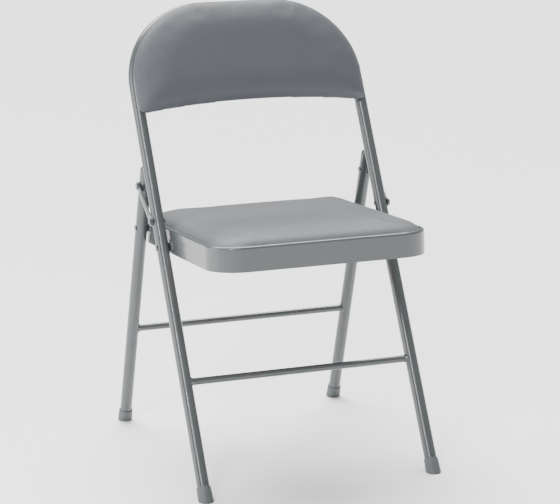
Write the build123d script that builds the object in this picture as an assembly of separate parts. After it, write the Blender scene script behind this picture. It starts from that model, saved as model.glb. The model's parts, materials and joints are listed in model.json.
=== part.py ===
"""Padded steel folding chair: tube frame, stamped seat pan, two rear legs and two side links.

Millimetres, +Z up, the sitter faces -Y, the origin is under the middle of the chair on the floor.
"Left" and "right" are as seen from the front: left is -X, right is +X.
"""
from build123d import *
import os
from math import atan2, cos, degrees, hypot, radians, sin, sqrt, tan

# ---- frame: driving dimensions ----
tube_od = 22.0              # uprights, bow and rear legs
tube_wall = 1.2
frame_width = 426.0         # axis to axis of the two uprights
frame_length = 901.0        # floor to the axis of the top tube, along the upright
bow_radius = 146.0          # bend of the top corners, on the tube's axis
front_lean = 29.9           # upright from the vertical, degrees
rear_lean = 17.35           # rear leg from the vertical, degrees
foot_base = 479.0           # front foot to rear foot, axes on the floor
crossbar_od = 12.5
crossbar_wall = 1.0
front_crossbar_height = 182.0
rear_crossbar_height = 196.0
weld_leg = 3.0              # size of the weld around a crossbar's end
weld_toe = 0.05             # the weld's thin edge on the crossbar
leg_top_height = 525.0      # rounded top end of the rear leg

# ---- feet ----
cap_wall = 1.6
cap_length = 24.0
cap_floor = 3.0
cap_edge = 1.2              # rounded lower edge

# ---- fold ----
seat_pivot_height = 394.7   # seat hinge on the upright
leg_pivot_height = 403.2    # rear leg hinge on the seat skirt
link_pivot_height = 437.4   # link hinge on the upright
stack_offset = 24.0         # rear leg behind the upright when folded flat
link_width = 12.0
link_eye_radius = 8.0
link_thickness = 3.0
link_rib = 0.8              # pressed rib that stands out of the link
link_rib_width = 4.2
side_gap = 3.0              # between an upright and the seat skirt
face_gap = 0.3              # between faces that slide past each other
running_gap = 0.06          # radial play of a rivet in the part that turns on it
saddle_gap = 0.4            # rear leg's pressed top, off the upright it stops against

# ---- rivets and screws ----
rivet_radius = 3.0
rivet_head_radius = 6.0
rivet_head_height = 2.2
small_head_radius = 5.2     # seat and leg rivets; the link swings past the seat rivet
tail_radius = 4.0
seat_tail_radius = 5.0
tail_height = 1.4
washer_radius = 8.0
washer_thickness = 1.4
screw_radius = 2.0
screw_head_radius = 4.0
screw_head_height = 2.2
screw_bite = 4.0            # length in the board
socket_length = 3.6         # cross socket in a screw's head
socket_width = 0.9
socket_depth = 0.5
head_edge = 0.45            # rounded edge of a rivet or screw head, as a share of its height

# ---- seat ----
seat_depth = 405.0
seat_reach = 251.5          # seat hinge to the pan's front edge, along the seat
seat_tilt = 4.63            # rear edge lower, degrees
hinge_drop = 31.8           # seat hinge below the pan's rim
skirt_height = 43.0
sheet = 1.2                 # stamped steel
front_corner_radius = 58.0
rear_corner_radius = 20.0
sharpest_corner = 3.0       # inner outlines keep at least this radius
rim_radius = 4.0
rim_width = 6.0
pocket_depth = 7.0          # the seat board sits in this pocket
ledge_width = 24.0
hem_width = 8.0
bracket_thickness = 1.5
bracket_radius = 8.0
boss_height = 1.3           # stamped round the seat rivets, out of the skirt
seat_boss_radius = 14.0
leg_boss_radius = 9.5
boss_slope = 1.2
pad_gap = 1.6               # pad to the rim around it
cover_thickness = 1.0
seat_crown = 15.0           # pad's middle above the rim
seat_crown_drop = 12.0      # from the middle to each edge
seat_taper = 8.0            # the pad's edges lean in, degrees

# ---- back ----
back_inset = 6.7            # pad's edge inside the tube's outer outline
back_bottom = 716.5         # middle of the lower edge, along the upright
back_arch = 15.0            # how far the lower edge rises in the middle
back_corner_radius = 14.0
back_board_thickness = 6.0
liner_thickness = 1.0
back_foam = 21.0            # foam in the middle
back_crown_drop = 12.0
back_gap = 0.1
back_screw_rise = 20.0      # lowest screws, above the lower edge's middle
back_screw_top = 62.0       # top screws, each side of the middle
back_taper = 15.0           # the pad's edges lean in, degrees

# ---- drawing aids ----
below_floor = 60.0          # tubes are drawn this far below the floor, then cut off
overshoot = 1.0             # cutting shapes run past the faces they cut
room = 3000.0               # larger than the chair

# ---- derived places ----
tube_r = tube_od / 2
half_width = frame_width / 2
cap_r = tube_r + cap_wall
skirt_x = half_width - tube_r - side_gap
outer_x = half_width + tube_r
lean_f = radians(front_lean)
lean_r = radians(rear_lean)
tilt = radians(seat_tilt)


# Y of the outermost points when the front foot stands at Y = 0
seat_front_y = tan(lean_f) * seat_pivot_height - seat_reach * cos(tilt) - hinge_drop * sin(tilt)
lowest_y = min(-cap_r / cos(lean_f), seat_front_y)
highest_y = foot_base + cap_r / cos(lean_r)
front_foot_y = -(lowest_y + highest_y) / 2
rear_foot_y = front_foot_y + foot_base


def on_upright(z):
    return (front_foot_y + tan(lean_f) * z, z)


def on_rear_leg(z):
    return (rear_foot_y - tan(lean_r) * z, z)


seat_pivot = on_upright(seat_pivot_height)
leg_pivot = on_rear_leg(leg_pivot_height)
link_pivot = on_upright(link_pivot_height)


def rear_link_pivot():
    """The link's pivot on the rear leg, placed so that upright, seat and leg fold parallel."""
    up = (-sin(lean_r), cos(lean_r))
    s = hypot(leg_pivot[0] - seat_pivot[0], leg_pivot[1] - seat_pivot[1])
    q = hypot(link_pivot[0] - seat_pivot[0], link_pivot[1] - seat_pivot[1])
    reach = q + sqrt(s * s - stack_offset * stack_offset)
    away = (leg_pivot[0] - link_pivot[0], leg_pivot[1] - link_pivot[1])
    along = away[0] * up[0] + away[1] * up[1]
    square = away[0] ** 2 + away[1] ** 2
    m = (reach * reach + stack_offset * stack_offset - square) / (2 * (along + reach))
    return (leg_pivot[0] + m * up[0], leg_pivot[1] + m * up[1])


top_pivot = rear_link_pivot()

upright_plane = Plane(origin=(0, front_foot_y, 0), x_dir=(1, 0, 0), z_dir=(0, -cos(lean_f), sin(lean_f)))
leg_plane = Plane(origin=(0, rear_foot_y, 0), x_dir=(1, 0, 0), z_dir=(0, -cos(lean_r), -sin(lean_r)))
seat_plane = Plane(
    origin=(
        0,
        seat_pivot[0] + hinge_drop * sin(tilt) - seat_reach * cos(tilt),
        seat_pivot[1] + hinge_drop * cos(tilt) + seat_reach * sin(tilt),
    ),
    x_dir=(1, 0, 0),
    z_dir=(0, sin(tilt), cos(tilt)),
)


# ---- helpers ----
def bar_x(radius, x0, x1, y, z):
    """A round bar along X from x0 to x1."""
    turned = Rotation(0, 90, 0) * Cylinder(radius, abs(x1 - x0))
    return Pos((x0 + x1) / 2, y, z) * turned


def bar_along(plane, radius, x, s0, s1):
    """A round bar along the plane's own Y direction."""
    turned = Rotation(90, 0, 0) * Cylinder(radius, s1 - s0)
    return plane.location * (Pos(x, (s0 + s1) / 2, 0) * turned)


def above(z):
    """Everything over the height z."""
    return Pos(0, 0, z + room / 2) * Box(room, room, room)


def group(shapes):
    solids = []
    for shape in shapes:
        solids.extend(shape.solids())
    return Compound(children=solids)


def head_x(radius, height, x, y, z, side):
    """A domed head whose flat face is at x, on the given side."""
    disc = bar_x(radius, x, x + side * height, y, z)
    rim = disc.edges().filter_by(GeomType.CIRCLE).sort_by(Axis.X)[-1 if side > 0 else 0]
    return fillet(rim, height * head_edge)


def both_sides(build):
    """One piece for each side: build is called with -1 for the left and 1 for the right."""
    return [build(-1), build(1)]


# ---- bent and straight tubes ----
def bow(radius):
    """The bent main tube as a solid bar of the given radius."""
    foot_left = (-half_width, -below_floor)
    foot_right = (half_width, -below_floor)
    top_left = (-half_width, frame_length)
    top_right = (half_width, frame_length)
    path = FilletPolyline(foot_left, top_left, top_right, foot_right, radius=bow_radius)
    path = upright_plane.location * path
    start = Plane(origin=path @ 0, z_dir=path % 0)
    return sweep(start * Circle(radius), path=path)


def upright_bar(side, radius):
    return bar_along(upright_plane, radius, side * half_width, -below_floor, frame_length - bow_radius)


def leg_bar(side, radius, s1):
    return bar_along(leg_plane, radius, side * half_width, -below_floor, s1)


leg_length = leg_top_height / cos(lean_r)


def domed_leg(side, radius):
    """A rear leg as a solid bar with a round top end."""
    centre_s = leg_length - tube_r
    ball = leg_plane.location * (Pos(side * half_width, centre_s, 0) * Sphere(radius))
    return leg_bar(side, radius, centre_s) + ball


def back_screw_places():
    """Low on each upright, in the middle of each bend, and twice in the top tube."""
    bend = bow_radius * (1 - sqrt(0.5))
    places = []
    for side in (-1, 1):
        places.append((side * half_width, back_bottom + back_screw_rise))
        places.append((side * (half_width - bend), frame_length - bend))
        places.append((side * back_screw_top, frame_length))
    return places


def screw(plane, x, s, base, reach):
    """A pan head screw whose head sits under base and whose shank runs up to reach."""
    head = Pos(x, s, base - screw_head_height / 2) * Cylinder(screw_head_radius, screw_head_height)
    low_rim = head.edges().filter_by(GeomType.CIRCLE).sort_by(Axis.Z)[0]
    head = fillet(low_rim, screw_head_height * head_edge)
    cross = Box(socket_length, socket_width, 2 * socket_depth)
    cross += Box(socket_width, socket_length, 2 * socket_depth)
    socket = Pos(x, s, base - screw_head_height) * cross
    shank = Pos(x, s, (base + reach) / 2) * Cylinder(screw_radius, reach - base)
    return plane.location * ((head - socket) + shank)


back_rear = tube_r + back_gap
board_rear = back_rear + liner_thickness
board_front = board_rear + back_board_thickness


def back_screws():
    return [screw(upright_plane, x, s, -tube_r, board_rear + screw_bite) for x, s in back_screw_places()]


def screw_holes(plane, places, base, reach):
    bars = []
    for x, s in places:
        bars.append(plane.location * (Pos(x, s, (base + reach) / 2) * Cylinder(screw_radius, reach - base)))
    return bars


back_holes = screw_holes(upright_plane, back_screw_places(), -tube_od, board_rear + screw_bite)


def frame_rivet_holes():
    holes = []
    for side in (-1, 1):
        inner = side * (half_width - 2 * tube_r)
        outer = side * (half_width + 2 * tube_r)
        for pivot in (seat_pivot, link_pivot):
            holes.append(bar_x(rivet_radius, inner, outer, *pivot))
    return holes


def front_frame_tube():
    tube = bow(tube_r) - bow(tube_r - tube_wall)
    tube = tube & above(cap_floor)
    for cut in frame_rivet_holes() + back_holes:
        tube -= cut
    return tube


def rear_leg(side):
    upright = upright_bar(side, tube_r + saddle_gap)
    saddle_inside = upright_bar(side, tube_r + saddle_gap + tube_wall)
    leg = domed_leg(side, tube_r) - upright
    leg -= domed_leg(side, tube_r - tube_wall) - saddle_inside
    leg = leg & above(cap_floor)
    inner = side * (half_width - 2 * tube_r)
    outer = side * (half_width + 2 * tube_r)
    for pivot in (leg_pivot, top_pivot):
        leg -= bar_x(rivet_radius, inner, outer, *pivot)
    return leg


def foot_cap(bar, side):
    """A moulded cap over a tube's end, flat on the floor whatever the tube's lean."""
    cap = bar(side, cap_r) & above(0)
    floor_edge = cap.edges().sort_by(Axis.Z)[0]
    cap = fillet(floor_edge, cap_edge)
    return cap - (bar(side, tube_r) & above(cap_floor))


def front_cap_bar(side, radius):
    return bar_along(upright_plane, radius, side * half_width, -below_floor, cap_length)


def rear_cap_bar(side, radius):
    return bar_along(leg_plane, radius, side * half_width, -below_floor, cap_length)


def crossbar(pivot, post):
    """A straight tube between two posts, with ends shaped to fit them."""
    bar = bar_x(crossbar_od / 2, -half_width, half_width, *pivot)
    bar -= bar_x(crossbar_od / 2 - crossbar_wall, -half_width, half_width, *pivot)
    for side in (-1, 1):
        bar -= post(side, tube_r)
    return bar


def crossbar_welds(pivot, post):
    """A fillet of weld around each end of a crossbar."""
    def build(side):
        wide = crossbar_od / 2 + weld_leg
        reach = tube_r + weld_leg
        cone = Cone(wide + tube_r, crossbar_od / 2 + weld_toe, reach + tube_r)
        cone = Rotation(0, -90 * side, 0) * cone
        cone = Pos(side * (half_width - (reach + tube_r) / 2 + tube_r), *pivot) * cone
        bead = cone & bar_x(wide, 0, side * half_width, *pivot)
        bead -= post(side, tube_r)
        bead -= bar_x(crossbar_od / 2, -half_width, half_width, *pivot)
        return bead
    return group(both_sides(build))


def front_post(side, radius):
    return upright_bar(side, radius)


def rear_post(side, radius):
    return leg_bar(side, radius, leg_length - tube_r)


# ---- pivots ----
def seat_rivet(side):
    """Upright to seat skirt: fixed in the upright, the seat turns on it."""
    inside = skirt_x - sheet - bracket_thickness - face_gap
    shank = bar_x(rivet_radius, side * (inside - tail_height), side * outer_x, *seat_pivot)
    head = head_x(small_head_radius, tail_height, side * outer_x, *seat_pivot, side)
    tail = head_x(seat_tail_radius, tail_height, side * inside, *seat_pivot, -side)
    return shank + head + tail


def leg_rivet(side):
    """Rear leg to seat skirt: fixed in the leg, turns in the skirt."""
    inside = skirt_x - sheet - bracket_thickness - face_gap
    shank = bar_x(rivet_radius, side * (inside - tail_height), side * outer_x, *leg_pivot)
    head = head_x(small_head_radius, tail_height, side * outer_x, *leg_pivot, side)
    tail = head_x(tail_radius, tail_height, side * inside, *leg_pivot, -side)
    return shank + head + tail


link_inner_x = outer_x + face_gap
link_outer_x = link_inner_x + link_thickness


def frame_link_rivet(side):
    """Upright to link: fixed in the upright, the link turns on it."""
    outside = link_outer_x + face_gap
    inner_x = half_width - tube_r
    shank = bar_x(rivet_radius, side * (inner_x - tail_height), side * outside, *link_pivot)
    head = head_x(rivet_head_radius, rivet_head_height, side * outside, *link_pivot, side)
    tail = head_x(tail_radius, tail_height, side * inner_x, *link_pivot, -side)
    return shank + head + tail


def leg_link_stud(side):
    """The half of the top rivet that is fixed in the rear leg, parted at the link's inner face."""
    inner_x = half_width - tube_r
    shank = bar_x(rivet_radius, side * (inner_x - tail_height), side * outer_x, *top_pivot)
    tail = head_x(tail_radius, tail_height, side * inner_x, *top_pivot, -side)
    return shank + tail


def link_rivet(side):
    """The half of the top rivet that is fixed in the link: head and shank through the link."""
    shank = bar_x(rivet_radius, side * link_inner_x, side * link_outer_x, *top_pivot)
    head = head_x(rivet_head_radius, rivet_head_height, side * link_outer_x, *top_pivot, side)
    return shank + head


def washer(side, pivot):
    x0 = half_width - tube_r
    ring = bar_x(washer_radius, side * x0, side * (x0 - washer_thickness), *pivot)
    return ring - bar_x(rivet_radius, 0, side * outer_x, *pivot)


def link(side):
    """A flat bar with round eyes and a pressed rib."""
    dy = top_pivot[0] - link_pivot[0]
    dz = top_pivot[1] - link_pivot[1]
    length = hypot(dy, dz)
    mid_y = (link_pivot[0] + top_pivot[0]) / 2
    mid_z = (link_pivot[1] + top_pivot[1]) / 2
    turn = Rotation(degrees(atan2(dz, dy)), 0, 0)
    middle_x = side * (link_inner_x + link_outer_x) / 2
    bar = Pos(middle_x, mid_y, mid_z) * (turn * Box(link_thickness, length, link_width))
    for pivot in (link_pivot, top_pivot):
        bar += bar_x(link_eye_radius, side * link_inner_x, side * link_outer_x, *pivot)
    rib_length = length - 4 * link_eye_radius
    rib = Box(link_rib, rib_length, link_rib_width)
    rib = Pos(side * (link_outer_x + link_rib / 2), mid_y, mid_z) * (turn * rib)
    bar += rib
    bar -= bar_x(rivet_radius + running_gap, 0, side * 2 * outer_x, *link_pivot)
    bar -= bar_x(rivet_radius, 0, side * 2 * outer_x, *top_pivot)
    return bar


# ---- seat ----
def seat_outline(inset):
    """The pan's plan, on the seat plane, drawn in by inset; Y runs back from the front edge."""
    width = 2 * (skirt_x - inset)
    depth = seat_depth - 2 * inset
    face = Pos(0, seat_depth / 2) * Rectangle(width, depth)
    corners = face.vertices().sort_by(Axis.Y)
    front_r = front_corner_radius - inset
    rear_r = max(rear_corner_radius - inset, sharpest_corner)
    face = fillet(corners[0:2], front_r)
    rear = face.vertices().sort_by(Axis.Y)[-2:]
    return fillet(rear, rear_r)


def slab(face, low, high):
    """The face raised from low to high."""
    return Pos(0, 0, low) * extrude(face, amount=high - low, dir=(0, 0, 1))


def crowned(face, low, middle, drop, half_x, half_y, centre_y, taper):
    """A slab whose walls lean in and whose top falls by drop from the middle to each edge."""
    block = Pos(0, 0, low) * extrude(face, amount=middle + overshoot - low, dir=(0, 0, 1), taper=taper)
    radius_x = (half_x * half_x + drop * drop) / (2 * drop)
    radius_y = (half_y * half_y + drop * drop) / (2 * drop)
    across = Pos(0, centre_y, middle - radius_x) * (Rotation(90, 0, 0) * Cylinder(radius_x, 4 * half_y))
    along = Pos(0, centre_y, middle - radius_y) * (Rotation(0, 90, 0) * Cylinder(radius_y, 4 * half_x))
    return block & across & along


def skirt_holes(radius):
    holes = []
    for side in (-1, 1):
        for pivot in (seat_pivot, leg_pivot):
            holes.append(bar_x(radius, side * (skirt_x - tube_od), side * (skirt_x + side_gap), *pivot))
    return holes


def seat_screw_places():
    x = skirt_x - rim_width - ledge_width / 2
    inset_y = rim_width + ledge_width / 2
    places = []
    for s in (seat_depth / 4, seat_depth * 3 / 4):
        places.append((-x, s))
        places.append((x, s))
    places.append((0, inset_y))
    places.append((0, seat_depth - inset_y))
    return places


ledge_under = -pocket_depth - sheet
seat_holes = screw_holes(seat_plane, seat_screw_places(), -skirt_height, screw_bite - pocket_depth)


def boss(side, pivot, radius):
    """A round stamped boss that stands out of the skirt, kept clear of the rim and the hem."""
    cone = Rotation(0, 90 * side, 0) * Cone(radius, radius - boss_slope, boss_height)
    cone = Pos(side * (skirt_x + boss_height / 2), *pivot) * cone
    flat_skirt = slab(seat_outline(-2 * boss_height), -skirt_height + sheet, -rim_radius)
    return cone & (seat_plane.location * flat_skirt)


def seat_pan():
    """Stamped pan: skirt with a turned-in hem, rolled rim, pocket and ledge, open in the middle."""
    body = slab(seat_outline(0), -skirt_height, 0)
    rim = body.faces().sort_by(Axis.Z)[-1].edges()
    body = fillet(rim, rim_radius)
    pan = body - slab(seat_outline(rim_width), -pocket_depth, overshoot)
    pan -= slab(seat_outline(rim_width + ledge_width), -skirt_height - overshoot, overshoot)
    pan -= slab(seat_outline(sheet + hem_width), -skirt_height - overshoot, -skirt_height + sheet)
    pan -= slab(seat_outline(sheet), -skirt_height + sheet, ledge_under)
    channel = slab(seat_outline(sheet), ledge_under, -rim_radius)
    channel -= slab(seat_outline(rim_width - sheet), ledge_under - overshoot, overshoot)
    pan -= channel
    pan = seat_plane.location * pan
    for side in (-1, 1):
        pan += boss(side, seat_pivot, seat_boss_radius)
        pan += boss(side, leg_pivot, leg_boss_radius)
    for cut in skirt_holes(rivet_radius + running_gap) + seat_holes:
        pan -= cut
    return pan


def seat_bracket(side):
    """A strip spot-welded inside the skirt, which both seat rivets pass through."""
    dy = leg_pivot[0] - seat_pivot[0]
    dz = leg_pivot[1] - seat_pivot[1]
    length = hypot(dy, dz)
    x0 = side * (skirt_x - sheet)
    x1 = side * (skirt_x - sheet - bracket_thickness)
    turn = Rotation(degrees(atan2(dz, dy)), 0, 0)
    middle = ((x0 + x1) / 2, (seat_pivot[0] + leg_pivot[0]) / 2, (seat_pivot[1] + leg_pivot[1]) / 2)
    strip = Pos(*middle) * (turn * Box(bracket_thickness, length, 2 * bracket_radius))
    for pivot in (seat_pivot, leg_pivot):
        strip += bar_x(bracket_radius, x0, x1, *pivot)
    for pivot in (seat_pivot, leg_pivot):
        strip -= bar_x(rivet_radius + running_gap, 0, 2 * x0, *pivot)
    return strip


pad_inset = rim_width + pad_gap
pad_half_x = skirt_x - pad_inset
pad_half_y = seat_depth / 2 - pad_inset


def seat_dome(inset, crown):
    outline = seat_outline(inset)
    middle_y = seat_depth / 2
    return crowned(outline, -pocket_depth, crown, seat_crown_drop, pad_half_x, pad_half_y, middle_y, seat_taper)


seat_filling = seat_dome(pad_inset + cover_thickness, seat_crown - cover_thickness)


def seat_board():
    board = seat_plane.location * (seat_filling & slab(seat_outline(0), -pocket_depth, 0))
    for cut in seat_holes:
        board -= cut
    return board


def seat_foam():
    return seat_plane.location * (seat_filling & slab(seat_outline(0), 0, seat_crown))


def seat_cover():
    return seat_plane.location * (seat_dome(pad_inset, seat_crown) - seat_filling)


# ---- back ----
back_half = half_width + tube_r - back_inset
back_top = frame_length + tube_r - back_inset
back_top_radius = bow_radius + tube_r - back_inset
arch_half = half_width - tube_r
arch_radius = (arch_half * arch_half + back_arch * back_arch) / (2 * back_arch)


def back_outline(inset):
    """The back pad's front view on the upright's plane, drawn in by inset."""
    low = back_bottom - 3 * back_arch
    top = back_top - inset
    face = Pos(0, (low + top) / 2) * Rectangle(2 * (back_half - inset), top - low)
    upper = face.vertices().sort_by(Axis.Y)[-2:]
    face = fillet(upper, back_top_radius - inset)
    face -= Pos(0, back_bottom - arch_radius) * Circle(arch_radius + inset)
    lower = face.vertices().sort_by(Axis.Y)[0:2]
    return fillet(lower, back_corner_radius - inset)


back_middle = (back_bottom + back_top) / 2
back_half_y = (back_top - back_bottom) / 2
back_front = board_front + back_foam + cover_thickness


def back_dome(inset, crown):
    outline = back_outline(inset)
    return crowned(outline, back_rear, crown, back_crown_drop, back_half, back_half_y, back_middle, back_taper)


back_filling = back_dome(cover_thickness, back_front - cover_thickness)


def back_layer(low, high):
    """One layer of the back pad, between two distances in front of the uprights' axes."""
    layer = upright_plane.location * (back_filling & slab(back_outline(0), low, high))
    for cut in back_holes:
        layer -= cut
    return layer


def back_cover():
    return upright_plane.location * (back_dome(0, back_front) - back_filling)


# ---- the chair ----
pieces = {
    "front_frame_tube": front_frame_tube(),
    "front_crossbar": crossbar(on_upright(front_crossbar_height), front_post),
    "front_crossbar_welds": crossbar_welds(on_upright(front_crossbar_height), front_post),
    "front_foot_cap_left": foot_cap(front_cap_bar, -1),
    "front_foot_cap_right": foot_cap(front_cap_bar, 1),
    "back_liner": back_layer(back_rear, board_rear),
    "back_board": back_layer(board_rear, board_front),
    "back_foam": back_layer(board_front, back_front),
    "back_cover": back_cover(),
    "back_screws": group(back_screws()),
    "seat_hinge_rivets": group(both_sides(seat_rivet)),
    "seat_hinge_washers": group(both_sides(lambda side: washer(side, seat_pivot))),
    "frame_link_rivets": group(both_sides(frame_link_rivet)),
    "seat_pan": seat_pan(),
    "seat_bracket_left": seat_bracket(-1),
    "seat_bracket_right": seat_bracket(1),
    "seat_board": seat_board(),
    "seat_foam": seat_foam(),
    "seat_cover": seat_cover(),
    "seat_screws": group(
        [screw(seat_plane, x, s, ledge_under, screw_bite - pocket_depth) for x, s in seat_screw_places()]
    ),
    "rear_leg_left": rear_leg(-1),
    "rear_leg_right": rear_leg(1),
    "rear_crossbar": crossbar(on_rear_leg(rear_crossbar_height), rear_post),
    "rear_crossbar_welds": crossbar_welds(on_rear_leg(rear_crossbar_height), rear_post),
    "rear_foot_cap_left": foot_cap(rear_cap_bar, -1),
    "rear_foot_cap_right": foot_cap(rear_cap_bar, 1),
    "leg_hinge_rivets": group(both_sides(leg_rivet)),
    "leg_hinge_washers": group(both_sides(lambda side: washer(side, leg_pivot))),
    "leg_link_studs": group(both_sides(leg_link_stud)),
    "link_left": link(-1),
    "link_right": link(1),
    "link_rivet_left": link_rivet(-1),
    "link_rivet_right": link_rivet(1),
}

os.makedirs("parts", exist_ok=True)
for name, shape in pieces.items():
    export_step(shape, f"parts/{name}.step")
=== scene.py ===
"""Looks of a padded steel folding chair: its upholstered pads, moulded feet, paint, vinyl and studio.

Metres, in the frame of the chair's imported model: +Z up, the sitter faces -Y, left is -X.
"""

import json
from math import cos, radians, sin

import bmesh
import bpy
from bpy.props import FloatProperty, FloatVectorProperty, IntProperty, PointerProperty
from mathutils import Matrix, Vector


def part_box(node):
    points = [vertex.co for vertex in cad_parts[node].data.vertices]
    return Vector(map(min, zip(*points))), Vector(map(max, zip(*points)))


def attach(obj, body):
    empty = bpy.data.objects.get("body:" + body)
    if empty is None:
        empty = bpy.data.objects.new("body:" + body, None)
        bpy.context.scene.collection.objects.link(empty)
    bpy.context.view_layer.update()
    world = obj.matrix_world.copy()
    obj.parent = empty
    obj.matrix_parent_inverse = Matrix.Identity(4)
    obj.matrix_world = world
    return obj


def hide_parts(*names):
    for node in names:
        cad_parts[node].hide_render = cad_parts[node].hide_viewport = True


bl_info = {
    "name": "Padded folding chair",
    "version": (1, 0, 0),
    "blender": (4, 5, 0),
    "location": "3D View > Sidebar > Chair",
    "description": "Pads, feet and finishes for a folding chair built around its packed model",
    "category": "Object",
}

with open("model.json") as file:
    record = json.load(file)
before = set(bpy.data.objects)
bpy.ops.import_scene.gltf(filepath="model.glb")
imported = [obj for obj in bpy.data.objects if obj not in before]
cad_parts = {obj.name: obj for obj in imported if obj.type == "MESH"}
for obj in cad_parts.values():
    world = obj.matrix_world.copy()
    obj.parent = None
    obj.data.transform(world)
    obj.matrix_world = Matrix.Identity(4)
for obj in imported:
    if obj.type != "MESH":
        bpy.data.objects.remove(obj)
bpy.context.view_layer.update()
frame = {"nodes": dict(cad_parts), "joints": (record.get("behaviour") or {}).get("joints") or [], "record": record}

MM = 0.001
LEFT, RIGHT = -1, 1


# ---- sizes and colours that a user may change ----
class ChairPads(bpy.types.PropertyGroup):
    """Sizes of the two upholstered pads."""

    seat_front_corner: FloatProperty(
        name="Seat front corner", description="Radius of the seat pad's front corners",
        default=0.0504, min=0.0, unit="LENGTH",
    )
    seat_rear_corner: FloatProperty(
        name="Seat rear corner", description="Radius of the seat pad's rear corners",
        default=0.0124, min=0.0, unit="LENGTH",
    )
    rim_depth: FloatProperty(
        name="Rim depth", description="Depth of the pocket that the seat board sits in",
        default=0.007, min=0.0, unit="LENGTH",
    )
    back_top_corner: FloatProperty(
        name="Back top corner", description="Radius of the back pad's upper corners",
        default=0.1503, min=0.0, unit="LENGTH",
    )
    back_low_corner: FloatProperty(
        name="Back lower corner", description="Radius of the back pad's lower corners",
        default=0.014, min=0.0, unit="LENGTH",
    )
    back_edge: FloatProperty(
        name="Back edge", description="Height of the back pad's side before it rounds over",
        default=0.0085, min=0.0, unit="LENGTH",
    )
    voxel: FloatProperty(
        name="Cloth grid", description="Size of the even grid that the cloth is simulated on",
        default=0.004, min=0.002, unit="LENGTH",
    )
    pressure: FloatProperty(
        name="Foam pressure", description="How hard the foam pushes the vinyl out",
        default=4.0, min=0.0,
    )
    swell: FloatProperty(
        name="Swell", description="How far vinyl may move as it settles; each pad takes a share",
        default=0.005, min=0.0, unit="LENGTH",
    )
    settle_frames: IntProperty(
        name="Settle frames", description="Frames that the cloth is given to settle", default=20, min=2,
    )


class ChairFeet(bpy.types.PropertyGroup):
    """Sizes of the moulded feet."""

    sleeve: FloatProperty(
        name="Sleeve", description="Length of the foot up the tube", default=0.0245, unit="LENGTH",
    )
    wall: FloatProperty(
        name="Wall", description="Thickness of the sleeve", default=0.0016, unit="LENGTH",
    )
    flare: FloatProperty(
        name="Flare", description="How much wider the sole is than the sleeve", default=0.0012, unit="LENGTH",
    )
    sole: FloatProperty(
        name="Sole", description="Thickness under the tube", default=0.003, unit="LENGTH",
    )


class ChairColours(bpy.types.PropertyGroup):
    """Colours of the finishes, in linear light."""

    paint: FloatVectorProperty(
        name="Frame paint", description="Powder coat on the steel", subtype="COLOR",
        default=(0.066, 0.074, 0.077), min=0.0, max=1.0,
    )
    vinyl: FloatVectorProperty(
        name="Vinyl", description="Upholstery vinyl on both pads", subtype="COLOR",
        default=(0.073, 0.080, 0.091), min=0.0, max=1.0,
    )
    plastic: FloatVectorProperty(
        name="Feet", description="Moulded plastic of the feet", subtype="COLOR",
        default=(0.096, 0.106, 0.110), min=0.0, max=1.0,
    )
    rivet: FloatVectorProperty(
        name="Rivets", description="Painted rivet heads", subtype="COLOR",
        default=(0.056, 0.062, 0.065), min=0.0, max=1.0,
    )
    board: FloatVectorProperty(
        name="Board", description="Hardboard under the pads", subtype="COLOR",
        default=(0.165, 0.092, 0.050), min=0.0, max=1.0,
    )
    foam: FloatVectorProperty(
        name="Foam", description="Foam inside the pads", subtype="COLOR",
        default=(0.72, 0.66, 0.48), min=0.0, max=1.0,
    )
    nylon: FloatVectorProperty(
        name="Washers", description="Nylon washers at the hinges", subtype="COLOR",
        default=(0.035, 0.037, 0.040), min=0.0, max=1.0,
    )
    zinc: FloatVectorProperty(
        name="Screws", description="Zinc plated screws", subtype="COLOR",
        default=(0.52, 0.53, 0.55), min=0.0, max=1.0,
    )


class ChairStudio(bpy.types.PropertyGroup):
    """Camera, lights and floor."""

    azimuth: FloatProperty(
        name="Azimuth", description="Camera's turn round the chair", subtype="ANGLE", default=radians(-20.6),
    )
    elevation: FloatProperty(
        name="Elevation", description="Camera's height as an angle", subtype="ANGLE", default=radians(14.1),
    )
    distance: FloatProperty(
        name="Distance", description="Camera to the point it looks at", unit="LENGTH", default=4.0303,
    )
    aim: FloatVectorProperty(
        name="Aim", description="Point that the camera looks at", subtype="TRANSLATION",
        default=(0.0, -0.04096, 0.3648),
    )
    lens: FloatProperty(
        name="Lens", description="Focal length on a 36 mm sensor, in millimetres", default=145.5,
    )
    shift_x: FloatProperty(name="Shift X", description="Sideways framing", default=-0.00525)
    shift_y: FloatProperty(name="Shift Y", description="Upward framing", default=0.0111)
    floor_colour: FloatVectorProperty(
        name="Floor", description="Pale studio floor", subtype="COLOR",
        default=(0.95, 0.95, 0.95), min=0.0, max=1.0,
    )
    ambient: FloatProperty(
        name="Ambient", description="Strength of the light from all round", default=0.49, min=0.0,
    )
    top_power: FloatProperty(
        name="Top light", description="Strength of the soft light overhead", default=8.2, min=0.0,
    )
    side_power: FloatProperty(
        name="Side light", description="Power of the large light on the left, in watts",
        default=50.0, min=0.0,
    )
    strip_power: FloatProperty(
        name="Strip light", description="Power of the tall narrow light, in watts", default=84.0, min=0.0,
    )


# ---- modelling helpers ----
def fresh():
    """Nothing selected, object mode."""
    if bpy.context.object and bpy.context.object.mode != "OBJECT":
        bpy.ops.object.mode_set(mode="OBJECT")
    bpy.ops.object.select_all(action="DESELECT")


def only(piece):
    fresh()
    piece.select_set(True)
    bpy.context.view_layer.objects.active = piece


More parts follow.
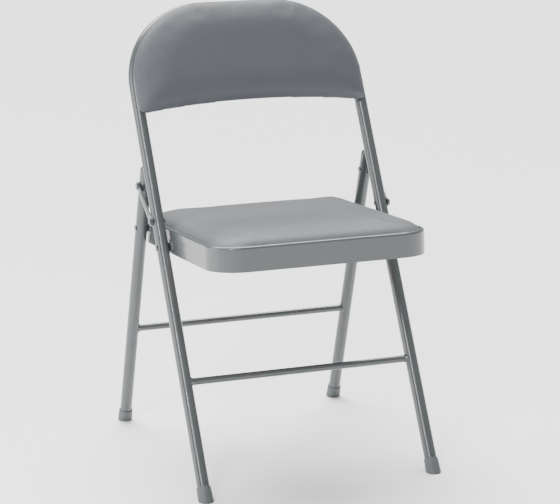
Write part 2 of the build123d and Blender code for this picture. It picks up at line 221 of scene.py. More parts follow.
def pick(piece, kind, test):
    """In edit mode, selects only the edges or faces that pass the test."""
    bpy.ops.mesh.select_mode(type={"edges": "EDGE", "faces": "FACE"}[kind])
    bpy.ops.mesh.select_all(action="DESELECT")
    mesh = bmesh.from_edit_mesh(piece.data)
    chosen = [part for part in getattr(mesh, kind) if test(part)]
    for part in chosen:
        part.select_set(True)
    bmesh.update_edit_mesh(piece.data)
    if not chosen:
        raise RuntimeError(f"{piece.name}: no {kind} to shape")


def finish_modifier(piece, kind, **values):
    """Adds a modifier, sets it and applies it."""
    only(piece)
    modifier = piece.modifiers.new(kind.title(), kind)
    for key, value in values.items():
        setattr(modifier, key, value)
    bpy.ops.object.modifier_apply(modifier=modifier.name)


def settle_in_place(piece, place):
    """Moves the mesh from its own drawing plane into the chair's frame, with the object at the origin."""
    piece.data.transform(place)
    piece.matrix_world = Matrix.Identity(4)
    piece.data.update()


def flat_side(node, toward):
    """Centre and normal of the largest flat triangle of a CAD node that looks one way."""
    sides = [side for side in frame["nodes"][node].data.polygons if side.normal.dot(toward) > 0.8]
    side = max(sides, key=lambda polygon: polygon.area)
    return side.center.copy(), side.normal.copy()


def drawing_plane(node, toward):
    """A matrix whose Z points away from the node's flat side, with X to the right and its origin at X = 0."""
    centre, outward = flat_side(node, toward)
    z_axis = -outward.normalized()
    x_axis = Vector((1, 0, 0))
    y_axis = z_axis.cross(x_axis)
    turn = Matrix((x_axis, y_axis, z_axis)).transposed().to_4x4()
    return Matrix.Translation(Vector((0, centre.y, centre.z))) @ turn


def seen_from(place, node):
    """A CAD node's points on a drawing plane."""
    back = place.inverted()
    return [back @ vertex.co for vertex in frame["nodes"][node].data.vertices]


# ---- shader groups ----
def new_group(name, inputs, outputs):
    tree = bpy.data.node_groups.new(name, "ShaderNodeTree")
    for label, default in inputs:
        socket = tree.interface.new_socket(label, in_out="INPUT", socket_type="NodeSocketFloat")
        socket.default_value = default
    for label, kind in outputs:
        tree.interface.new_socket(label, in_out="OUTPUT", socket_type=kind)
    return tree, tree.nodes.new("NodeGroupInput"), tree.nodes.new("NodeGroupOutput")


def add(tree, kind, inputs=None, **settings):
    """A node with its settings and the values or links of its inputs."""
    node = tree.nodes.new(kind)
    for key, value in settings.items():
        setattr(node, key, value)
    for key, value in (inputs or {}).items():
        if isinstance(value, bpy.types.NodeSocket):
            tree.links.new(value, node.inputs[key])
        else:
            node.inputs[key].default_value = value
    return node


def sums(tree, operation, first, second=0.0, clamp=False):
    node = add(tree, "ShaderNodeMath", {0: first, 1: second}, operation=operation, use_clamp=clamp)
    return node.outputs[0]


def object_points(tree):
    return add(tree, "ShaderNodeTexCoord").outputs["Object"]


def noise(tree, scale, detail=3.0, roughness=0.5, stretch=None):
    points = object_points(tree)
    if stretch:
        points = add(tree, "ShaderNodeMapping", {"Vector": points, "Scale": stretch}).outputs[0]
    values = {"Vector": points, "Scale": scale, "Detail": detail, "Roughness": roughness}
    return add(tree, "ShaderNodeTexNoise", values).outputs[0]


def worn_edges():
    """Mask that is 1 on sharp edges and breaks up along them."""
    inputs = [("Radius", 0.0008), ("Strength", 4.0)]
    tree, given, out = new_group("Worn edges", inputs, [("Mask", "NodeSocketFloat")])
    rounded = add(tree, "ShaderNodeBevel", {"Radius": given.outputs["Radius"]}, samples=4)
    surface = add(tree, "ShaderNodeNewGeometry")
    normals = {0: rounded.outputs[0], 1: surface.outputs["Normal"]}
    facing = add(tree, "ShaderNodeVectorMath", normals, operation="DOT_PRODUCT")
    edge = sums(tree, "SUBTRACT", 1.0, facing.outputs["Value"])
    edge = sums(tree, "MULTIPLY", edge, given.outputs["Strength"])
    broken = sums(tree, "MULTIPLY", edge, noise(tree, 180.0, 4.0, 0.65))
    tree.links.new(sums(tree, "MULTIPLY", broken, 1.6, True), out.inputs["Mask"])
    return tree


def soft_patches():
    """Broad, faint unevenness, from 0 to 1."""
    tree, given, out = new_group("Soft patches", [("Scale", 14.0)], [("Tone", "NodeSocketFloat")])
    values = {"Vector": object_points(tree), "Scale": given.outputs["Scale"], "Detail": 4.0, "Roughness": 0.6}
    cloud = add(tree, "ShaderNodeTexNoise", values)
    ramp = add(tree, "ShaderNodeMapRange", {0: cloud.outputs[0], 1: 0.3, 2: 0.7, 3: 0.0, 4: 1.0})
    tree.links.new(ramp.outputs[0], out.inputs["Tone"])
    return tree


def pebble_grain():
    """Leather-like pebbles with fine valleys between them."""
    inputs = [("Scale", 700.0), ("Unevenness", 0.0006)]
    outputs = [("Height", "NodeSocketFloat"), ("Valley", "NodeSocketFloat")]
    tree, given, out = new_group("Pebble grain", inputs, outputs)
    points = object_points(tree)
    wobble = add(tree, "ShaderNodeTexNoise", {"Vector": points, "Scale": 420.0, "Detail": 2.0})
    centred = add(
        tree, "ShaderNodeVectorMath", {0: wobble.outputs["Color"], 1: (0.5, 0.5, 0.5)}, operation="SUBTRACT"
    )
    shift = add(tree, "ShaderNodeVectorMath", {0: centred.outputs[0]}, operation="SCALE")
    tree.links.new(given.outputs["Unevenness"], shift.inputs["Scale"])
    moved = add(tree, "ShaderNodeVectorMath", {0: points, 1: shift.outputs[0]}, operation="ADD")
    values = {"Vector": moved.outputs[0], "Scale": given.outputs["Scale"]}
    cells = add(tree, "ShaderNodeTexVoronoi", values, feature="DISTANCE_TO_EDGE")
    pebble = add(tree, "ShaderNodeMapRange", {0: cells.outputs["Distance"], 1: 0.0, 2: 0.28, 3: 0.0, 4: 1.0})
    pebble.interpolation_type = "SMOOTHSTEP"
    fine = sums(tree, "MULTIPLY", noise(tree, 2600.0, 2.0), 0.25)
    tree.links.new(sums(tree, "ADD", pebble.outputs[0], fine), out.inputs["Height"])
    tree.links.new(sums(tree, "SUBTRACT", 1.0, pebble.outputs[0]), out.inputs["Valley"])
    return tree


def orange_peel():
    """The faint ripple of sprayed and baked powder."""
    tree, given, out = new_group("Orange peel", [("Scale", 520.0)], [("Height", "NodeSocketFloat")])
    values = {"Vector": object_points(tree), "Scale": given.outputs["Scale"]}
    ripple = add(tree, "ShaderNodeTexNoise", {**values, "Detail": 2.0, "Roughness": 0.45})
    tree.links.new(ripple.outputs[0], out.inputs["Height"])
    return tree


def rubbed_dust():
    """Mask of the little dust that lies on what faces up."""
    tree, given, out = new_group("Rubbed dust", [("Amount", 0.25)], [("Mask", "NodeSocketFloat")])
    surface = add(tree, "ShaderNodeNewGeometry")
    split = add(tree, "ShaderNodeSeparateXYZ", {0: surface.outputs["Normal"]})
    up = add(tree, "ShaderNodeMapRange", {0: split.outputs["Z"], 1: 0.3, 2: 1.0, 3: 0.0, 4: 1.0})
    specks = noise(tree, 60.0, 6.0, 0.7)
    speckle = add(tree, "ShaderNodeMapRange", {0: specks, 1: 0.45, 2: 0.8, 3: 0.0, 4: 1.0})
    dust = sums(tree, "MULTIPLY", up.outputs[0], speckle.outputs[0])
    tree.links.new(sums(tree, "MULTIPLY", dust, given.outputs["Amount"], True), out.inputs["Mask"])
    return tree


GROUPS = {
    "edges": worn_edges, "patches": soft_patches, "pebbles": pebble_grain, "peel": orange_peel,
    "dust": rubbed_dust,
}
made_groups = {}
finishes = {}


def effect(tree, name, output, **values):
    """One of the shared groups placed in a material; returns the named output."""
    if name not in made_groups:
        made_groups[name] = GROUPS[name]()
    node = tree.nodes.new("ShaderNodeGroup")
    node.node_tree = made_groups[name]
    for key, value in values.items():
        node.inputs[key.title()].default_value = value
    return node.outputs[output]


# ---- material helpers ----
def new_material(name, **uniform):
    """A material with one Principled shader, whose uniform values are set on its own sockets."""
    material = bpy.data.materials.new(name)
    material.use_nodes = True
    shader = material.node_tree.nodes["Principled BSDF"]
    for key, value in uniform.items():
        shader.inputs[key.replace("_", " ")].default_value = value
    return material, material.node_tree, shader


def shade(colour, factor):
    return (colour[0] * factor, colour[1] * factor, colour[2] * factor, 1.0)


def blend_colours(tree, mask, first, second):
    node = add(tree, "ShaderNodeMix", data_type="RGBA", blend_type="MIX")
    for index, value in ((0, mask), (6, first), (7, second)):
        if isinstance(value, bpy.types.NodeSocket):
            tree.links.new(value, node.inputs[index])
        else:
            node.inputs[index].default_value = value
    return node.outputs[2]


def between(tree, value, low, high):
    return add(tree, "ShaderNodeMapRange", {0: value, 1: 0.0, 2: 1.0, 3: low, 4: high}).outputs[0]


def relief(tree, height, distance, strength=1.0):
    values = {"Height": height, "Distance": distance, "Strength": strength}
    return add(tree, "ShaderNodeBump", values).outputs[0]


def powder_coat(name, colour, rough=0.25, wear=0.22):
    """Semi-gloss powder coat on steel: a faint ripple, and slightly rubbed edges."""
    material, tree, shader = new_material(name, Coat_Weight=0.35, Coat_Roughness=0.1)
    tone = effect(tree, "patches", "Tone", scale=11.0)
    edge = effect(tree, "edges", "Mask", radius=0.0009, strength=wear * 14)
    dust = effect(tree, "dust", "Mask", amount=0.06)
    body = blend_colours(tree, tone, shade(colour, 0.98), shade(colour, 1.02))
    body = blend_colours(tree, edge, body, shade(colour, 1.55))
    body = blend_colours(tree, dust, body, shade((0.42, 0.42, 0.41), 1.0))
    tree.links.new(body, shader.inputs["Base Color"])
    gloss = between(tree, tone, rough - 0.015, rough + 0.02)
    gloss = sums(tree, "ADD", gloss, sums(tree, "MULTIPLY", dust, 0.35), True)
    tree.links.new(gloss, shader.inputs["Roughness"])
    peel = effect(tree, "peel", "Height", scale=520.0)
    tree.links.new(relief(tree, peel, 0.00006, 0.55), shader.inputs["Normal"])
    return material


def upholstery_vinyl(name, colour):
    """Soft vinyl with a pebble grain, a little darker in its valleys."""
    values = {"Specular_IOR_Level": 0.42, "Sheen_Weight": 0.06, "Sheen_Roughness": 0.45}
    material, tree, shader = new_material(name, **values)
    tone = effect(tree, "patches", "Tone", scale=7.0)
    valley = effect(tree, "pebbles", "Valley", scale=760.0)
    dust = effect(tree, "dust", "Mask", amount=0.05)
    body = blend_colours(tree, tone, shade(colour, 0.97), shade(colour, 1.03))
    body = blend_colours(tree, sums(tree, "MULTIPLY", valley, 0.45), body, shade(colour, 0.62))
    body = blend_colours(tree, dust, body, shade((0.40, 0.40, 0.40), 1.0))
    tree.links.new(body, shader.inputs["Base Color"])
    gloss = between(tree, tone, 0.40, 0.47)
    gloss = sums(tree, "ADD", gloss, sums(tree, "MULTIPLY", valley, 0.16), True)
    tree.links.new(gloss, shader.inputs["Roughness"])
    grain = effect(tree, "pebbles", "Height", scale=760.0)
    fine = relief(tree, grain, 0.00012, 0.6)
    tree.links.new(fine, shader.inputs["Normal"])
    return material


def moulded_plastic(name, colour, rough=0.5, scale=900.0, deep=0.00005):
    """Matt moulded plastic with a spark-eroded skin and scuffed edges."""
    material, tree, shader = new_material(name, Specular_IOR_Level=0.4)
    tone = effect(tree, "patches", "Tone", scale=60.0)
    edge = effect(tree, "edges", "Mask", radius=0.0012, strength=3.0)
    body = blend_colours(tree, tone, shade(colour, 0.94), shade(colour, 1.05))
    body = blend_colours(tree, edge, body, shade(colour, 1.4))
    tree.links.new(body, shader.inputs["Base Color"])
    tree.links.new(between(tree, tone, rough - 0.05, rough + 0.08), shader.inputs["Roughness"])
    skin = effect(tree, "peel", "Height", scale=scale)
    tree.links.new(relief(tree, skin, deep, 0.8), shader.inputs["Normal"])
    return material


def zinc_plate(name, colour):
    """Bright zinc with fine turning marks and dull spots."""
    material, tree, shader = new_material(name, Metallic=1.0)
    tone = effect(tree, "patches", "Tone", scale=240.0)
    edge = effect(tree, "edges", "Mask", radius=0.0004, strength=3.0)
    body = blend_colours(tree, tone, shade(colour, 0.8), shade(colour, 1.1))
    body = blend_colours(tree, edge, body, shade(colour, 1.5))
    tree.links.new(body, shader.inputs["Base Color"])
    tree.links.new(between(tree, tone, 0.26, 0.48), shader.inputs["Roughness"])
    marks = noise(tree, 300.0, 3.0, 0.5, stretch=(1.0, 14.0, 14.0))
    tree.links.new(relief(tree, marks, 0.00004, 0.5), shader.inputs["Normal"])
    return material


def hardboard(name, colour):
    """Pressed fibre board: matted fibres, light and dark."""
    material, tree, shader = new_material(name, Specular_IOR_Level=0.25)
    fibres = noise(tree, 260.0, 6.0, 0.75, stretch=(1.0, 2.6, 1.0))
    tone = effect(tree, "patches", "Tone", scale=22.0)
    spread = add(tree, "ShaderNodeMapRange", {0: fibres, 1: 0.35, 2: 0.66, 3: 0.0, 4: 1.0}).outputs[0]
    body = blend_colours(tree, spread, shade(colour, 0.66), shade(colour, 1.4))
    body = blend_colours(tree, sums(tree, "MULTIPLY", tone, 0.3), body, shade(colour, 0.8))
    tree.links.new(body, shader.inputs["Base Color"])
    tree.links.new(between(tree, fibres, 0.66, 0.9), shader.inputs["Roughness"])
    tree.links.new(relief(tree, fibres, 0.00025, 0.8), shader.inputs["Normal"])
    return material


def open_foam(name, colour):
    """Open cell foam: small round pores."""
    material, tree, shader = new_material(name, Specular_IOR_Level=0.1, Roughness=0.95)
    values = {"Vector": object_points(tree), "Scale": 520.0}
    pores = add(tree, "ShaderNodeTexVoronoi", values, feature="SMOOTH_F1").outputs["Distance"]
    body = blend_colours(tree, pores, shade(colour, 1.05), shade(colour, 0.7))
    tree.links.new(body, shader.inputs["Base Color"])
    tree.links.new(relief(tree, pores, 0.0006, 0.9), shader.inputs["Normal"])
    return material


def dress(material, *nodes):
    """Gives a finish to CAD nodes or pieces."""
    for node in nodes:
        piece = frame["nodes"][node] if isinstance(node, str) else node
        piece.data.materials.clear()
        piece.data.materials.append(material)


def colours():
    return bpy.context.scene.chair_colours


# ---- pads ----
ABOVE_BOARD = 0.4 * MM         # the seat pad's straight side ends this far above its board
ABOVE_SIDE = 0.3 * MM          # the cloth is free from this far above the straight side
UNDER_SEAT_PAD = 0.8 * MM      # the seat pad starts this far above its board's underside
IN_FRONT_OF_LINER = 0.3 * MM
SEAT_SIDE_ROUNDING = 1.6 * MM
BACK_SIDE_ROUNDING = 2.4 * MM
FIRST_EVENING = 8              # smoothing passes before the cloth is blown out
SEAT_EVENING = 30              # and after it
BACK_EVENING = 36
SEAT_SWELL = 0.4               # shares of the pads' swell
BACK_SWELL = 0.5


def drop_corners(piece, wanted, radius, segments):
    """Rounds the upright edges of a blank that stand at the wanted corners."""
    pick(piece, "edges", lambda edge: is_upright(edge) and wanted(edge.verts[0].co))
    bpy.ops.mesh.bevel(offset=radius, offset_type="OFFSET", segments=segments, affect="EDGES")


def is_upright(edge):
    run = edge.verts[1].co - edge.verts[0].co
    return hypot_xy(run) < 1e-6 and abs(run.z) > 1e-6


def hypot_xy(vector):
    return (vector.x * vector.x + vector.y * vector.y) ** 0.5


def pad_blank(name, low, high):
    """A box on the drawing plane, from its low to its high corner, left in edit mode."""
    fresh()
    bpy.ops.mesh.primitive_cube_add(size=1.0, location=(low + high) / 2)
    piece = bpy.context.object
    piece.name = name
    piece.data.name = name
    piece.scale = high - low
    bpy.ops.object.transform_apply(location=True, rotation=True, scale=True)
    bpy.ops.object.mode_set(mode="EDIT")
    return piece


def edge_wall(piece, softness):
    """A copy of the blank with a rounded front edge: the vinyl drawn round the edge of the board."""
    bpy.ops.object.mode_set(mode="OBJECT")
    only(piece)
    bpy.ops.object.duplicate()
    wall = bpy.context.object
    bpy.ops.object.mode_set(mode="EDIT")
    pick(wall, "faces", lambda face: face.normal.z > 0.9)
    bpy.ops.mesh.bevel(offset=softness, offset_type="OFFSET", segments=4, affect="EDGES")
    bpy.ops.object.mode_set(mode="OBJECT")
    only(piece)
    bpy.ops.object.mode_set(mode="EDIT")
    return wall


def join_wall(piece, wall):
    """Makes the pad and its wall one closed skin."""
    finish_modifier(piece, "BOOLEAN", operation="UNION", solver="EXACT", object=wall)
    bpy.data.objects.remove(wall)
    only(piece)
    bpy.ops.object.shade_smooth_by_angle(angle=radians(50))


def crown(piece, low, high, steps):
    """Extrudes the front face again and again, drawn in and raised each time, into a dome."""
    centre = (low + high) / 2
    half = (high - low) / 2
    pick(piece, "faces", lambda face: face.normal.z > 0.9)
    before = 0.0
    for inward, rise in steps:
        after = before + inward
        share = [(side - after) / (side - before) for side in (half.x, half.y)]
        bpy.ops.mesh.extrude_region_move(TRANSFORM_OT_translate={"value": (0, 0, rise)})
        bpy.ops.transform.resize(value=(share[0], share[1], 1.0), center_override=centre)
        before = after
    bpy.ops.mesh.poke()
    bpy.ops.object.mode_set(mode="OBJECT")


def settle_cloth(piece, pads, wall, swell, evening):
    """Blows the vinyl out over its foam: an even grid, a cloth simulation, a capped move, a subdivision."""
    finish_modifier(piece, "REMESH", mode="VOXEL", voxel_size=pads.voxel, use_smooth_shade=True)
    smooth_free(piece, wall, FIRST_EVENING)
    start = [vertex.co.copy() for vertex in piece.data.vertices]
    blow_up(piece, pads, [index for index, point in enumerate(start) if point.z < wall])
    for vertex, before in zip(piece.data.vertices, start):
        move = vertex.co - before
        if move.length > swell:
            vertex.co = before + move.normalized() * swell
    smooth_free(piece, wall, evening)
    finish_modifier(piece, "SUBSURF", levels=1, render_levels=1)
    only(piece)
    bpy.ops.object.shade_smooth()


def match_outline(piece, low, high):
    """Stretches the pad sideways by the little that the grid and the smoothing drew it in."""
    points = [vertex.co for vertex in piece.data.vertices]
    for axis in (0, 1):
        least = min(point[axis] for point in points)
        most = max(point[axis] for point in points)
        share = (high[axis] - low[axis]) / (most - least)
        for point in points:
            point[axis] = low[axis] + (point[axis] - least) * share


def smooth_free(piece, wall, times):
    """Evens out the pad above its straight side."""
    group = piece.vertex_groups.new(name="free")
    group.add([vertex.index for vertex in piece.data.vertices if vertex.co.z > wall], 1.0, "REPLACE")
    finish_modifier(piece, "SMOOTH", factor=0.5, iterations=times, vertex_group="free")
    piece.vertex_groups.clear()


def blow_up(piece, pads, fixed):
    only(piece)
    group = piece.vertex_groups.new(name="held")
    group.add(fixed, 1.0, "REPLACE")
    cloth = piece.modifiers.new("Cloth", "CLOTH")
    cloth.settings.vertex_group_mass = "held"
    cloth.settings.quality = 5
    cloth.settings.mass = 0.3
    cloth.settings.tension_stiffness = 18.0
    cloth.settings.compression_stiffness = 18.0
    cloth.settings.bending_stiffness = 12.0
    cloth.settings.use_pressure = True
    cloth.settings.uniform_pressure_force = pads.pressure
    cloth.settings.effector_weights.gravity = 0.0
    cloth.collision_settings.use_collision = False
    cloth.point_cache.frame_start = 1
    cloth.point_cache.frame_end = pads.settle_frames
    scene = bpy.context.scene
    for number in range(1, pads.settle_frames + 1):
        scene.frame_set(number)
    bpy.ops.object.modifier_apply(modifier=cloth.name)
    scene.frame_set(1)
    piece.vertex_groups.clear()


class CHAIR_OT_seat_pad(bpy.types.Operator):
    """Make the crowned seat pad that sits in the pan's pocket"""

    bl_idname = "chair.seat_pad"
    bl_label = "Seat pad"

    def execute(self, context):
        pads = context.scene.chair_pads
        place = drawing_plane("seat_board", Vector((0, 0, -1)))
        points = seen_from(place, "seat_cover")
        half = max(point.x for point in points)
        front = min(point.y for point in points)
        rear = max(point.y for point in points)
        middle = (front + rear) / 2
        lip = pads.rim_depth + ABOVE_BOARD
        low_corner = Vector((-half, front, UNDER_SEAT_PAD))
        high_corner = Vector((half, rear, lip))
        piece = pad_blank("seat_cushion", low_corner, high_corner)
        drop_corners(piece, lambda point: point.y < middle, pads.seat_front_corner, 14)
        drop_corners(piece, lambda point: point.y > middle, pads.seat_rear_corner, 6)
        wall = edge_wall(piece, SEAT_SIDE_ROUNDING)
        crown(piece, low_corner, high_corner, SEAT_DOME)
        settle_cloth(piece, pads, lip + ABOVE_SIDE, SEAT_SWELL * pads.swell, SEAT_EVENING)
        match_outline(piece, low_corner, high_corner)
        join_wall(piece, wall)
        settle_in_place(piece, place)
        dress(finishes["vinyl"], piece)
        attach(piece, "seat")
        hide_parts("seat_cover", "seat_foam")
        return {"FINISHED"}


SEAT_DOME = (
    (0.0012, 0.0034), (0.0044, 0.0044), (0.0100, 0.0048), (0.0170, 0.0036), (0.0260, 0.0024),
    (0.0400, 0.0012), (0.0400, 0.0004),
)


class CHAIR_OT_back_pad(bpy.types.Operator):
    """Make the puffed back pad inside the bend of the frame tube"""

    bl_idname = "chair.back_pad"
    bl_label = "Back pad"

    def execute(self, context):
        pads = context.scene.chair_pads
        place = drawing_plane("back_liner", Vector((0, 1, 0)))
        points = seen_from(place, "back_cover")
        half = max(point.x for point in points)
        low = min(point.y for point in points)
        high = max(point.y for point in points)
        rise = min(point.y for point in points if abs(point.x) < 12 * MM) - low
        middle = (low + high) / 2
        low_corner = Vector((-half, low, IN_FRONT_OF_LINER))
        high_corner = Vector((half, high, pads.back_edge))
        piece = pad_blank("back_cushion", low_corner, high_corner)
        drop_corners(piece, lambda point: point.y > middle, pads.back_top_corner, 26)
        arch_lower_edge(piece, half, low, rise)
        drop_corners(piece, lambda point: is_low_corner(point, half, middle), pads.back_low_corner, 7)
        wall = edge_wall(piece, BACK_SIDE_ROUNDING)
        crown(piece, low_corner, high_corner, BACK_DOME)
        settle_cloth(piece, pads, pads.back_edge + ABOVE_SIDE, BACK_SWELL * pads.swell, BACK_EVENING)
        match_outline(piece, low_corner, high_corner)
        join_wall(piece, wall)
        settle_in_place(piece, place)
        dress(finishes["vinyl"], piece)
        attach(piece, "front_frame")
        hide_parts("back_cover", "back_foam")
        return {"FINISHED"}


BACK_DOME = (
    (0.0016, 0.0036), (0.0034, 0.0034), (0.0060, 0.0034), (0.0100, 0.0030), (0.0160, 0.0026),
    (0.0220, 0.0012),
)


def is_low_corner(point, half, middle):
    return point.y < middle and abs(abs(point.x) - half) < 1e-6


def arch_lower_edge(piece, half, low, rise):
    """Divides the blank's lower edges and lifts them into an arch, highest in the middle."""
    def is_lower(edge):
        return all(abs(vertex.co.y - low) < 1e-6 for vertex in edge.verts) and not is_upright(edge)

    pick(piece, "edges", is_lower)
    bpy.ops.mesh.subdivide(number_cuts=31)
    mesh = bmesh.from_edit_mesh(piece.data)
    for vertex in mesh.verts:
        if abs(vertex.co.y - low) < 1e-6:
            vertex.co.y += rise * (1 - (vertex.co.x / half) ** 2)
    bmesh.update_edit_mesh(piece.data)


# ---- feet ----
class CHAIR_OT_feet(bpy.types.Operator):
    """Make the four moulded feet over the ends of the legs"""

    bl_idname = "chair.feet"
    bl_label = "Feet"

    def execute(self, context):
        for end, body in (("front", "front_frame"), ("rear", "rear_legs")):
            for side, number in (("left", LEFT), ("right", RIGHT)):
                node = f"{end}_foot_cap_{side}"
                foot = make_foot(f"{end}_foot_{side}", node, leg_line(end, number), context.scene.chair_feet)
                dress(finishes["foot_plastic"], foot)
                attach(foot, body)
                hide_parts(node)
        return {"FINISHED"}


def joint_point(name):
    return Vector(next(joint["pos_m"] for joint in frame["joints"] if joint["name"] == name))


def mount_point(name):
    return Vector(next(mount["pos_m"] for mount in frame["record"]["mounts"] if mount["name"] == name))


def leg_line(end, side):
    """Where a leg's axis meets the floor, and the way it runs up."""
    ground = mount_point(f"{end}_foot_{'left' if side < 0 else 'right'}")
    pivot = joint_point("seat_fold" if end == "front" else "rear_leg_fold")
    pivot.x = ground.x
    return ground, (pivot - ground).normalized()


def make_foot(name, node, line, feet):
    ground, up = line
    low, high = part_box(node)
    outer = (high.x - low.x) / 2
    tube = outer - feet.wall
    fresh()
    spare = 12 * MM
    length = feet.sleeve + spare
    centre = ground + up * ((feet.sleeve - spare) / 2)
    bpy.ops.mesh.primitive_cylinder_add(vertices=64, radius=outer, depth=length, location=centre)
    foot = bpy.context.object
    foot.name = name
    foot.data.name = name
    foot.rotation_mode = "QUATERNION"
    foot.rotation_quaternion = up.to_track_quat("Z", "Y")
    bpy.ops.object.transform_apply(location=True, rotation=True, scale=True)
    bpy.ops.object.mode_set(mode="EDIT")
    hollow_out(foot, up, feet, outer - tube)
    cut_at_floor()
    flare_sole(foot, ground, up, outer, feet)
    bpy.ops.object.mode_set(mode="OBJECT")
    bpy.ops.object.shade_smooth_by_angle(angle=radians(40))
    return foot


def hollow_out(foot, up, feet, wall):
    """Sinks the sleeve's bore from the top face down to the sole."""
    pick(foot, "faces", lambda face: face.normal.dot(up) > 0.9)
    bpy.ops.mesh.inset(thickness=wall * 0.25, depth=0.0)
    bpy.ops.transform.translate(value=up * (0.4 * MM))
    bpy.ops.mesh.inset(thickness=wall * 0.5, depth=0.0)
    bpy.ops.mesh.inset(thickness=wall * 0.25, depth=0.0)
    bpy.ops.transform.translate(value=up * (-0.4 * MM))
    bpy.ops.mesh.extrude_region_move(TRANSFORM_OT_translate={"value": -up * (feet.sleeve - 2.8 * feet.sole)})
    bpy.ops.mesh.select_all(action="DESELECT")


def cut_at_floor():
    bpy.ops.mesh.select_all(action="SELECT")
    bpy.ops.mesh.bisect(
        plane_co=(0, 0, 0), plane_no=(0, 0, 1), use_fill=True, clear_inner=True, clear_outer=False,
    )


def flare_sole(foot, ground, up, outer, feet):
    """A rounded, slightly wider sole."""
    pick(foot, "faces", lambda face: face.normal.z < -0.9 and abs(face.calc_center_median().z) < 1e-5)
    bpy.ops.mesh.bevel(offset=1.8 * MM, offset_type="OFFSET", segments=4, affect="EDGES")
    mesh = bmesh.from_edit_mesh(foot.data)
    for vertex in mesh.verts:
        along = (vertex.co - ground).dot(up)
        away = vertex.co - (ground + up * along)
        if away.length > outer * 0.9:
            share = max(0.0, 1 - max(along, 0.0) / (0.6 * feet.sleeve))
            sideways = Vector((away.x, away.y, 0)).normalized()
            vertex.co += sideways * (feet.flare * share * share)
    bmesh.update_edit_mesh(foot.data)


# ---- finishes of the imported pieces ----
class CHAIR_OT_finishes(bpy.types.Operator):
    """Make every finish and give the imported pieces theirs"""

    bl_idname = "chair.finishes"
    bl_label = "Finishes"

    def execute(self, context):
        tints = colours()
        finishes["frame_paint"] = powder_coat("powder_coat_grey", tints.paint)
        finishes["rivet_paint"] = powder_coat("painted_rivet", tints.rivet, rough=0.38, wear=0.5)
        finishes["vinyl"] = upholstery_vinyl("upholstery_vinyl", tints.vinyl)
        finishes["foam"] = open_foam("open_cell_foam", tints.foam)
        finishes["board"] = hardboard("pressed_hardboard", tints.board)
        finishes["foot_plastic"] = moulded_plastic("moulded_foot", tints.plastic)
        finishes["washer_plastic"] = moulded_plastic("nylon_washer", tints.nylon, rough=0.4)
        finishes["fastener"] = zinc_plate("zinc_plated_steel", tints.zinc)
        for part in frame["record"]["subparts"]:
            dress(finishes[part["material_slot"]], part["node"])
        return {"FINISHED"}


# ---- studio ----
def soft_light(name, place, target, size, power):
    """A rectangular light at a place, turned to its target."""
    bpy.ops.object.light_add(type="AREA", location=place)
    light = bpy.context.object
    light.name = name
    light.data.shape = "RECTANGLE"
    light.data.size, light.data.size_y = size
    light.data.energy = power
    light.rotation_mode = "QUATERNION"
    light.rotation_quaternion = (Vector(target) - Vector(place)).to_track_quat("-Z", "Y")


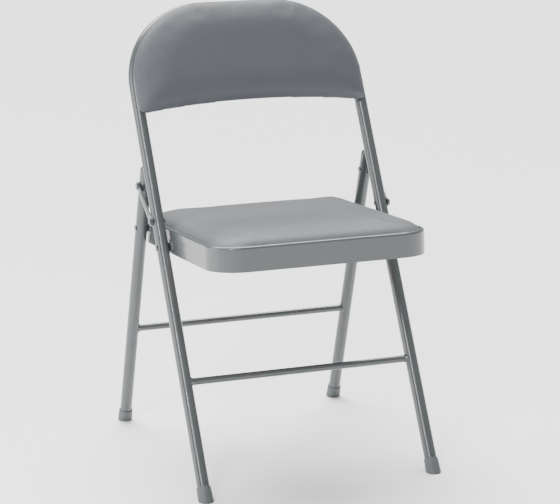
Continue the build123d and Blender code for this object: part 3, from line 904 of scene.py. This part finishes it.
class CHAIR_OT_studio(bpy.types.Operator):
    """Set up the camera, the soft lights and the pale floor"""

    bl_idname = "chair.studio"
    bl_label = "Studio"

    def execute(self, context):
        studio = context.scene.chair_studio
        fresh()
        self.camera(context, studio)
        self.floor(studio)
        self.world(context, studio)
        aim = Vector(studio.aim)
        self.sky(studio)
        soft_light("side_light", (-2.9, 0.5, 1.2), aim, (1.8, 2.0), studio.side_power)
        soft_light("strip_light", (-2.05, -2.2, 2.65), aim, (0.10, 2.4), studio.strip_power)
        return {"FINISHED"}

    def camera(self, context, studio):
        away = Vector((
            sin(studio.azimuth) * cos(studio.elevation),
            -cos(studio.azimuth) * cos(studio.elevation),
            sin(studio.elevation),
        ))
        bpy.ops.object.camera_add(location=Vector(studio.aim) + away * studio.distance)
        camera = context.object
        camera.name = "camera"
        camera.rotation_mode = "QUATERNION"
        camera.rotation_quaternion = (-away).to_track_quat("-Z", "Y")
        camera.data.lens = studio.lens
        camera.data.shift_x = studio.shift_x
        camera.data.shift_y = studio.shift_y
        context.scene.camera = camera

    def sky(self, studio):
        """A very soft light from above and behind, even over the whole floor."""
        bpy.ops.object.light_add(type="SUN", location=(0.1, 1.5, 2.7))
        light = bpy.context.object
        light.name = "top_light"
        light.data.energy = studio.top_power
        light.data.angle = radians(55)
        light.rotation_mode = "QUATERNION"
        light.rotation_quaternion = (-Vector((0.05, 0.55, 1.0))).to_track_quat("-Z", "Y")

    def floor(self, studio):
        bpy.ops.mesh.primitive_circle_add(vertices=96, radius=14.0, fill_type="NGON", location=(0, 0, 0))
        floor = bpy.context.object
        floor.name = "studio_floor"
        material, tree, shader = new_material("studio_floor", Specular_IOR_Level=0.2)
        tone = effect(tree, "patches", "Tone", scale=3.0)
        body = blend_colours(tree, tone, shade(studio.floor_colour, 0.995), shade(studio.floor_colour, 1.0))
        tree.links.new(body, shader.inputs["Base Color"])
        tree.links.new(between(tree, tone, 0.6, 0.66), shader.inputs["Roughness"])
        floor.data.materials.append(material)

    def world(self, context, studio):
        world = bpy.data.worlds.new("studio")
        world.use_nodes = True
        background = world.node_tree.nodes["Background"]
        background.inputs["Color"].default_value = (1.0, 1.0, 1.0, 1.0)
        background.inputs["Strength"].default_value = studio.ambient
        context.scene.world = world


# ---- add-on ----
class CHAIR_PT_panel(bpy.types.Panel):
    """Lists the chair's pieces and their sizes"""

    bl_idname = "CHAIR_PT_panel"
    bl_label = "Folding chair"
    bl_space_type = "VIEW_3D"
    bl_region_type = "UI"
    bl_category = "Chair"

    def draw(self, context):
        for operator in OPERATORS:
            self.layout.operator(operator.bl_idname)
        for name in ("chair_pads", "chair_feet", "chair_colours", "chair_studio"):
            settings = getattr(context.scene, name)
            column = self.layout.box().column()
            for key in settings.__annotations__:
                column.prop(settings, key)


SETTINGS = {
    "chair_pads": ChairPads,
    "chair_feet": ChairFeet,
    "chair_colours": ChairColours,
    "chair_studio": ChairStudio,
}
OPERATORS = (CHAIR_OT_studio, CHAIR_OT_finishes, CHAIR_OT_seat_pad, CHAIR_OT_back_pad, CHAIR_OT_feet)


def register():
    for cls in (*SETTINGS.values(), *OPERATORS, CHAIR_PT_panel):
        bpy.utils.register_class(cls)
    for name, cls in SETTINGS.items():
        setattr(bpy.types.Scene, name, PointerProperty(type=cls))


def unregister():
    for name in SETTINGS:
        delattr(bpy.types.Scene, name)
    for cls in (CHAIR_PT_panel, *reversed(OPERATORS), *SETTINGS.values()):
        bpy.utils.unregister_class(cls)


def main():
    register()
    for operator in OPERATORS:
        group, name = operator.bl_idname.split(".")
        getattr(getattr(bpy.ops, group), name)()


if __name__ == "__main__":
    main()
